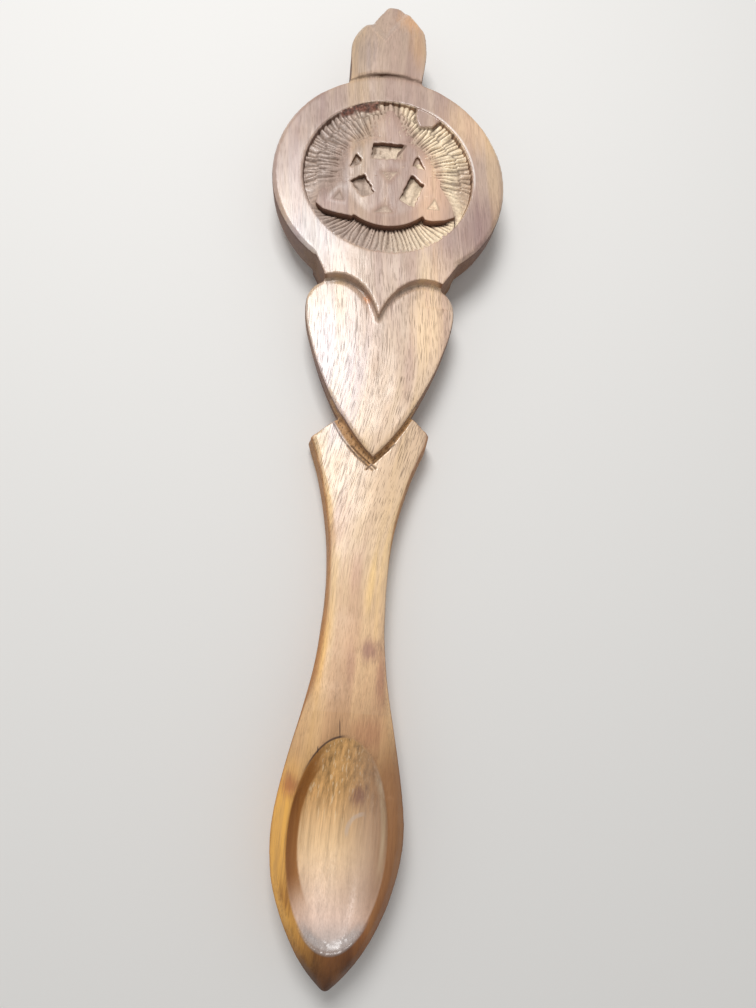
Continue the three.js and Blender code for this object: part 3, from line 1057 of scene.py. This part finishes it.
woodSpec = {
    "tones": [  # along the spoon, from the tip of the bowl to the finial; the darker ends, the tip most, are partly the wood's own tone and partly painted shade of the light falling off
        (0.0, (0.09, 0.03, 0.006)),
        (0.05, (0.30, 0.115, 0.03)),
        (0.12, (0.56, 0.305, 0.115)),
        (0.27, (0.80, 0.51, 0.27)),
        (0.38, (0.88, 0.62, 0.385)),
        (0.50, (0.78, 0.55, 0.36)),
        (0.62, (0.69, 0.505, 0.37)),
        (0.74, (0.52, 0.37, 0.285)),
        (1.0, (0.49, 0.35, 0.262)),
    ],
    "mauve": (0.84, 0.79, 0.83),
    "straw": (1.08, 1.05, 0.88),
    "pore": (0.12, 0.062, 0.045),
    # dirt, also used as painted shade in creases, knife lines and along the hollow's lip
    "dirtAndShade": (0.085, 0.043, 0.027),
    "side": (0.57, 0.42, 0.31),  # the walls are browner than the sanded faces, partly their own colour and partly painted shade
    # the head's walls are darker still, partly painted shade
    "headWallTintAndShade": (0.40, 0.30, 0.255),
    "edge": 0.36,  # how much further the walls' browning, partly painted shade, reaches up the handle's rounded edges
    "stainsAndHighlights": [  # stains and painted highlights: place, half sizes, lean and tint
        ((13.5, 53.5), (6.4, 6.4), 0.7, (1.42, 1.35, 1.12)),
        ((7.2, 40), (3.4, 10), 0, (1.65, 1.6, 1.38)),
        ((-0.3, 50.5), (3.2, 5), 0, (1.15, 1.16, 1.16)),
        ((8.5, 27.5), (4, 3.8), 0, (1.25, 1.27, 1.14)),
        ((2, 73.5), (2.8, 3.2), 0, (1.32, 1.12, 0.86)),
        ((8.2, 19), (3.2, 9), 0, (1.4, 1.36, 1.16)),
        ((3.2, 68), (1.6, 6), 0.1, (1.24, 1.14, 0.88)),
        ((14.5, 34.5), (4.4, 8.6), -0.5, (0.70, 0.63, 0.69)),
        ((-12.5, 53.5), (6, 4.5), 0.7, (0.86, 0.84, 0.88)),
        ((-17, 43), (3, 9), 0, (0.86, 0.85, 0.94)),
        ((-9, 42), (4.6, 10), 0, (0.80, 0.81, 0.86)),
        ((-5.2, 65), (2.2, 5.4), 0, (0.80, 0.83, 0.96)),
        ((-1.7, 9), (0.9, 8), -0.1, (0.82, 0.79, 0.86)),
        ((5.6, 11), (1.1, 6), 0, (0.88, 0.83, 0.86)),
        ((-1.75, 21.1), (0.95, 0.42), -0.83, (1.3, 0.85, 0.5)),
        ((2.8, -32.5), (1.6, 2), 0, (0.56, 0.46, 0.56)),
        ((4.7, -36), (0.9, 4), 0, (0.80, 0.70, 0.76)),
        ((0.3, -34.8), (0.9, 3.5), 0.1, (0.90, 0.84, 0.88)),
        ((-0.4, -31), (1.8, 3.6), 0, (1.14, 1.17, 1.2)),
        ((-2.8, -14), (1.3, 5.5), -0.1, (0.86, 0.79, 0.86)),
        ((-0.2, -21.5), (1, 4), 0, (0.97, 0.91, 0.96)),
        ((2.2, -23.3), (0.75, 4.6), -0.08, (1.22, 1.2, 1.02)),
        ((-3.8, -33), (0.75, 7), -0.07, (1.16, 1.08, 0.84)),
        ((-4.8, -12), (0.8, 6), 0.22, (1.1, 1.04, 0.88)),
        # painted highlights: whiter, bluer patches where the key light's reflection lies on the heart's
        # left, the border's lower left, the knot's lower left lobe and the yoke's left shoulder
        ((-6.5, 11), (4.5, 11), 0.25, (0.98, 1.12, 1.55)),
        ((-12, 29.5), (6, 5), -0.6, (0.98, 1.14, 1.38)),
        ((-8.5, 36.3), (3, 1.8), -0.15, (1.2, 1.22, 1.3)),
        ((-5, 0), (3, 4), 0.3, (0.98, 1.06, 1.3)),
        ((-6.6, -51.1), (1.4, 1.9), 0.2, (0.62, 0.46, 0.54)),
        ((-5.3, -65), (1.5, 2.4), 0.5, (0.70, 0.62, 0.55)),
        ((3, -43.8), (2.6, 2.4), 0, (0.90, 0.80, 0.80)),
    ],
    "relief": 0.05,
    "roughness": 0.42,
    "coat": 0.9,
    "coatRoughness": 0.2,
    "lean": 5.4,  # how far the grain drifts across the yoke
    "anyHeight": 1000,
}


class Wood(Finish):
    # the wood that all pieces share; each finish adds its own layers before seal()
    def __init__(self, name):
        super().__init__(name)
        place = self.add("TexCoord", {}, {}, "Object")
        self.point = self.add("VectorMath", {"operation": "SCALE"}, {0: place, "Scale": 1 / mm})
        axes = self.add("SeparateXYZ", {}, {0: self.point}).socket.node.outputs
        self.x, self.y, self.z = (Value(self, socket) for socket in axes)
        self.up = self.add("SeparateXYZ", {}, {0: self.add("TexCoord", {}, {}, "Normal")}, 2)
        drift = self.step(self.y, -60, -20, 0, 1.6) + self.step(self.y, -26, 14, 0, woodSpec["lean"])
        drift = drift + self.step(self.y, 12, 76, 0, -5)
        swirl = self.noise(self.point, (0.05, 0.03, 0.05), 1)
        across = self.x - drift + swirl * 2.4
        self.grain = self.add("CombineXYZ", {}, {0: across, 1: self.y, 2: self.z})
        self.bands = self.noise(self.grain, (0.24, 0.012, 0.16), 3, 0.55)
        self.streaks = self.noise(self.grain, (1.1, 0.035, 0.7), 4, 0.6, 7)
        self.fibre = self.noise(self.grain, (9, 0.25, 6), 2, 0.6, 13)
        self.pores = self.makePores()
        self.crease, self.worn = self.mark("crease"), self.mark("worn")
        self.color = self.baseColor()
        dull = self.mark("dull")
        self.matte = self.crease + dull + self.pores * 0.5 + self.step(self.fibre, 0.52, 0.36) * 0.25
        self.bare = 0
        self.gloss = self.pores * 0.2 + self.crease * 0.3 + dull * 0.4
        self.relief = self.fibre * 0.35 - self.pores + self.streaks * 0.3

    def makePores(self):
        # short dark dashes along the grain, most of them on the heart and the yoke
        crowd = self.noise(self.grain, (0.3, 0.06, 0.3), 1, 0.5, 21)
        dashes = self.noise(self.grain, (13, 0.42, 8), 1, 0.5, 29)
        pores = self.step(dashes + (crowd - 0.5) * 0.2, 0.57, 0.66)
        return pores * (0.4 + self.step(self.y, -24, -4) * self.step(self.y, 34, 18) * 0.65)

    def baseColor(self):
        low, high = cadBox[0][1] / mm, cadBox[1][1] / mm
        along = (self.y - low) / (high - low) + (self.bands - 0.5) * 0.12
        color = self.add("ValToRGB", {"stops": woodSpec["tones"]}, {0: along})
        color = self.mix(self.step(self.bands, 0.52, 0.36), color, woodSpec["mauve"], "MULTIPLY")
        color = self.mix(self.step(self.bands, 0.5, 0.66), color, woodSpec["straw"], "MULTIPLY")
        color = self.scale(color, 1 + (self.streaks - 0.5) * 0.5 + (self.fibre - 0.5) * 0.5)
        return self.mix(self.pores * 0.55, color, woodSpec["pore"])

    def spot(self, place, size, lean=0):
        # distance from a leaning oval's middle, 1 on its outline, whatever the height
        sockets = {"Vector": self.point, "Location": (*place, 0)}
        sockets.update({"Rotation": (0, 0, lean), "Scale": (*size, woodSpec["anyHeight"])})
        moved = self.add("Mapping", {"vector_type": "TEXTURE"}, sockets)
        return self.add("VectorMath", {"operation": "LENGTH"}, {0: moved}, "Value")

    def paint(self, share, color, blend="MIX"):
        self.color = self.mix(share, self.color, color, blend)

    def paintStainsAndHighlights(self, low, high):
        # only the stains and painted highlights of the piece itself, which lies between low and high
        # along the spoon
        ragged = (self.streaks - 0.5) * 1.2 + (self.fibre - 0.5) * 0.9
        for place, size, lean, tint in woodSpec["stainsAndHighlights"]:
            if low - size[1] < place[1] < high + size[1]:
                edge = self.spot(place, size, lean) + ragged
                self.paint(self.step(edge, 1.3, 0.2), tint, "MULTIPLY")

    def seal(self, side, edge=0, shine=0.5):
        # dirt and painted shade in the creases, wear on the edges, browner walls where it is steep
        # (partly painted shade), and the oiled sheen
        color = self.mix(self.crease * 0.75, self.color, woodSpec["dirtAndShade"])
        color = self.scale(color, 1 + self.worn * 0.16)
        flat = abs(self.up)
        left = self.step(self.x, 1, -1) * self.step(self.y, -46, -36)
        right = self.step(self.x, -1, 1) * self.step(self.y, -24, -12)
        swell = self.step(self.y, -40, -50)  # painted shade: the bowl darkens gradually round its side
        steep = self.step(flat - (left + right) * edge, 0.55 + swell * 0.25, 0.3 - swell * 0.3)
        # the browner walls are partly their own colour and partly painted shade
        wallAndShade = steep * (1 - self.bare)
        color = self.mix(wallAndShade, color, side, "MULTIPLY")
        bump = {"Strength": 0.7, "Distance": woodSpec["relief"] * mm, "Height": self.relief}
        smear = self.noise(self.grain, (0.35, 0.2, 0.35), 3, 0.6, 37)
        shader = self.add("BsdfPrincipled", {}, {
            "Base Color": color,
            "Roughness": woodSpec["roughness"] + (smear - 0.5) * 0.2 + self.gloss + wallAndShade * 0.3,
            "Normal": self.add("Bump", {}, bump),
            "Specular IOR Level": shine,
            "Coat Weight": woodSpec["coat"] * (1 - self.matte - self.step(flat, 0.85, 0.5) * 0.9),
            "Coat Roughness": woodSpec["coatRoughness"],
        })
        self.add("OutputMaterial", {}, {"Surface": shader})
        return self.material


bowlSpec = {
    "golden": (0.92, 0.48, 0.095),
    # painted shade on the bowl's right side
    "shadedRusset": (0.23, 0.08, 0.022),
    "hollowTop": (0.68, 0.385, 0.145),
    "hollowMiddle": (0.93, 0.665, 0.395),
    "hollowLow": (0.81, 0.595, 0.485),
    "hollowRight": (0.40, 0.27, 0.205),
    # a painted highlight on the hollow's right wall
    "litBand": (0.80, 0.69, 0.50),
    "end": (0.42, 0.38, 0.365),
    # a painted highlight on a small ridge in the hollow
    "pale": (0.62, 0.53, 0.47),
    # painted shade on the hollow's left wall
    "wallAndShade": (0.37, 0.145, 0.03),
    "glint": (0.95, 0.70, 0.42),
    "spot": (0.26, 0.12, 0.10),
    "shine": 0.3,
    "blot": ((2.85, -52.4), (1.1, 1.8)),  # place and half sizes of the dark spot
    "litCurl": ((4.3, -57.3), (2.6, 2.6)),  # and of the pale ring beside it, a painted highlight
    "cracks": [((-0.55, -43.35), (0.1, 1.4), 0.09), ((-3.3, -46.3), (0.1, 0.55), 0.1)],  # as the stains
}


def hollowColor(wood, away):
    # away is 1 on the hollow's lip
    x, y, step = wood.x, wood.y, wood.step
    upper = step(y, -62, -50)
    color = wood.mix(step(y, -69, -58), bowlSpec["hollowLow"], bowlSpec["hollowMiddle"])
    color = wood.mix(upper, color, bowlSpec["hollowTop"])
    torn = wood.noise(wood.grain, (2.1, 0.07, 1.2), 3, 0.65, 43)
    color = wood.scale(color, 1 + (torn - 0.5) * (0.7 + upper * 1.5) + (wood.fibre - 0.5) * 0.4)
    flecks = wood.noise(wood.grain, (3.6, 0.24, 2.2), 1, 0.5, 47)
    # a painted highlight along the hollow's lower right wall
    litBand = step(away, 0.86, 0.92) * step(away, 1, 0.95) * step(x, 4.5, 5.6) * step(y, -64, -58)
    # painted shade on the hollow's left wall
    wallAndShade = step(away + (wood.fibre - 0.5) * 0.04, 0.75, 0.8) * step(x, -1.5, -4) * step(y, -68, -62)
    blot = wood.spot(*bowlSpec["blot"]) + (torn - 0.5) * 1.5
    # the pale ring is a painted highlight
    litCurl = abs(wood.spot(*bowlSpec["litCurl"]) - 1) + (torn - 0.5) * 0.1
    layers = {  # each lies over those before it
        "glint": step(flecks, 0.6, 0.7) * step(y, -66, -52) * 0.7,
        "hollowRight": step(x, -0.5, 6) * step(y, -73, -63) * 0.75,
        "litBand": litBand * step(wood.streaks, 0.35, 0.6, 0.2, 0.75),
        "wallAndShade": wallAndShade * 0.9,
        "spot": step(blot, 1.3, 0.1) * 0.65,
        "pale": step(litCurl, 0.15, 0.05) * step(y, -58.2, -57) * step(x, 4.3, 3.4) * 0.42,
        "end": step(y, -67, -70) * 0.6,
    }
    for name, share in layers.items():
        color = wood.mix(share, color, bowlSpec[name])
    return color


def bowlFinish():
    wood = Wood("oiledBowl")
    x, y, step = wood.x, wood.y, wood.step
    # golden left rim, and a darker right side that is painted shade, both gone where the handle begins
    rim = step(y, -76, -64) * step(y, -45, -54)
    narrow = step(y, -62, -74, 0, 4)
    uneven = step(wood.streaks + (wood.fibre - 0.5) * 0.5, 0.3, 0.6, 0.5, 1)
    wood.paint(step(x - narrow, -3, -7.5) * rim * uneven, bowlSpec["golden"])
    dark = step(x, 3, 6.4) * step(y, -41.5, -49.5) * step(y, -76, -65, 0.3, 0.72)
    wood.paint(dark, bowlSpec["shadedRusset"])
    wood.paintStainsAndHighlights(bowlLow.y / mm, bowlHigh.y / mm)
    away = wood.spot(hollowSpec["middle"], hollowSpec["half"])
    inside = step(away, 1.01, 0.97) * step(wood.z, 7.95, 7.75)
    wood.paint(inside, hollowColor(wood, away))
    # a thin line of painted shade along the lip's upper left, and two fine cracks above it
    lipShadeAndCracks = step(abs(away - 0.99), 0.018, 0.005) * step(y, -50, -47) * step(x, 0.6, -0.6)
    for crack in bowlSpec["cracks"]:
        lipShadeAndCracks = lipShadeAndCracks + step(wood.spot(*crack), 1.1, 0.5)
    wood.paint(lipShadeAndCracks * 0.85, woodSpec["dirtAndShade"])
    # the hollow is dull, but for its end below the lip, polished over small tool marks
    end = step(away, 0.88, 0.94) * step(away, 1.035, 1.005) * step(y, -66.5, -69.2)
    wood.paint(end * step(x, -4.5, -2.5) * 0.6, bowlSpec["end"])
    marks = wood.noise(wood.point, (3.4, 3.4, 3.4), 2, 0.6, 59)
    wood.relief = wood.relief + end * marks * 5
    wood.gloss = wood.gloss - end * 0.2
    wood.matte = wood.matte + inside * (1 - end) * 0.75 + step(y, -66, -73) * (1 - end) * 0.6
    return wood.seal(woodSpec["side"], woodSpec["edge"], bowlSpec["shine"])


cutSpec = {
    "fresh": (0.56, 0.32, 0.14),
    # reddish broken wood, partly darkened with painted shade
    "brokenAndShaded": (0.15, 0.055, 0.036),
    "straw": (1.0, 0.83, 0.59),
    "silver": (0.50, 0.39, 0.33),
    # painted shade and dirt in the gouge's valleys, the openings and the cuts
    "valleyShadeAndDirt": (0.13, 0.075, 0.045),
    "slip": ((11.25, 35.5), (0.15, 1.6)),  # where the knife ran on into the border
    "tan": (0.53, 0.37, 0.26),
    "rubbed": ((13, 42.6), (2.2, 4.8)),  # a duller patch of the ground
    "paintedEdgeLight": (0.95, 0.87, 0.81),  # a painted highlight along the border's inner edge at the right
}


def freshCut(wood):
    # newly cut wood: matte and speckled
    specks = wood.noise(wood.grain, (2.6, 1.8, 2.6), 2, 0.6, 53)
    return wood.mix(wood.step(specks, 0.52, 0.64) * 0.75, cutSpec["fresh"], woodSpec["dirtAndShade"])


def handleFinish():
    wood = Wood("oiledHandle")
    wood.paintStainsAndHighlights(bowlHigh.y / mm, heartTip + 10)
    fresh, groove = wood.mark("fresh"), wood.mark("groove")
    wood.paint(fresh * 0.92, freshCut(wood))
    # painted shade and dirt in the knife lines
    wood.paint(groove * 0.9, woodSpec["dirtAndShade"])
    wood.matte = wood.matte + fresh + groove * 3
    wood.bare = fresh
    wood.gloss = wood.gloss + fresh * 0.35
    return wood.seal(woodSpec["side"], woodSpec["edge"])


def headFinish(name):
    wood = Wood(name)
    x, y, step = wood.x, wood.y, wood.step
    wood.paintStainsAndHighlights(heartTip, finialHigh.y / mm)
    ground, fresh, groove = wood.mark("ground"), wood.mark("fresh"), wood.mark("groove")
    gouged = wood.mix(step(x + y * 0.22, 2.6, 17.6), cutSpec["silver"], cutSpec["straw"])
    gouged = wood.mix(step(wood.spot(*cutSpec["rubbed"]), 1.3, 0.5) * 0.8, gouged, cutSpec["tan"])
    gouged = wood.scale(gouged, 1 + (wood.fibre - 0.5) * 0.5 + (wood.streaks - 0.5) * 0.4)
    wood.paint(ground * 0.85, gouged)
    # painted shade and dirt in the valleys, openings, walls and knife lines
    wood.paint(groove ** 1.4 * 0.72, cutSpec["valleyShadeAndDirt"])
    # a painted highlight along the recess's inner edge at the right
    rim = wood.spot((0, discY), (groundSpec["radius"], groundSpec["radius"]))
    edgeHighlightLine = step(rim, 1.01, 1.018) * step(rim, 1.036, 1.026) * step(x, 4, 9) * step(y, 41, 44)
    wood.paint(edgeHighlightLine * 0.6, cutSpec["paintedEdgeLight"])
    wood.paint(step(wood.spot(*cutSpec["slip"]), 1.1, 0.4) * 0.8, woodSpec["dirtAndShade"])
    # the wall that broke away is reddish and partly darkened with painted shade, the trench under the
    # heart isn't
    splinters = wood.noise(wood.point, (1.6, 1.6, 1.6), 2, 0.6, 67)
    brokenAndShaded = wood.scale(cutSpec["brokenAndShaded"], step(splinters, 0.35, 0.65, 0.4, 1.7))
    wood.paint(fresh * 0.92, wood.mix(step(y, 40, 45), freshCut(wood), brokenAndShaded))
    chips = wood.noise(wood.point, (2.6, 2.6, 2.6), 2, 0.6, 61)
    wood.color = wood.scale(wood.color, 1 + ground * (chips - 0.5) * 0.9)
    wood.relief = wood.relief + ground * chips * 2.5
    # the wall above the heart is paler than the outer walls
    neck = step(abs(x - heartMid), 9.2, 8.4) * step(y, 15.5, 17) * step(y, 31, 27)
    wood.matte = wood.matte + fresh + groove * 1.2 + ground * 0.45
    wood.bare = fresh + neck * 0.75
    wood.gloss = wood.gloss + fresh * 0.35
    return wood.seal(woodSpec["headWallTintAndShade"])


finishes = {
    "bowl_wood": bowlFinish(),
    "handle_wood": handleFinish(),
    "head_wood": headFinish("oiledHead"),
    "knot_wood": headFinish("oiledKnot"),
}
slots = {row["node"]: row["material_slot"] for row in frame["record"]["subparts"]}
for name, piece in pieces.items():
    mesh = piece.data
    mesh.materials.clear()
    mesh.materials.append(finishes[slots[name]])
    mesh.shade_smooth()
    sharpenSaw(mesh)
    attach(piece, "root")
    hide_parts(name)
print("pieces finished")
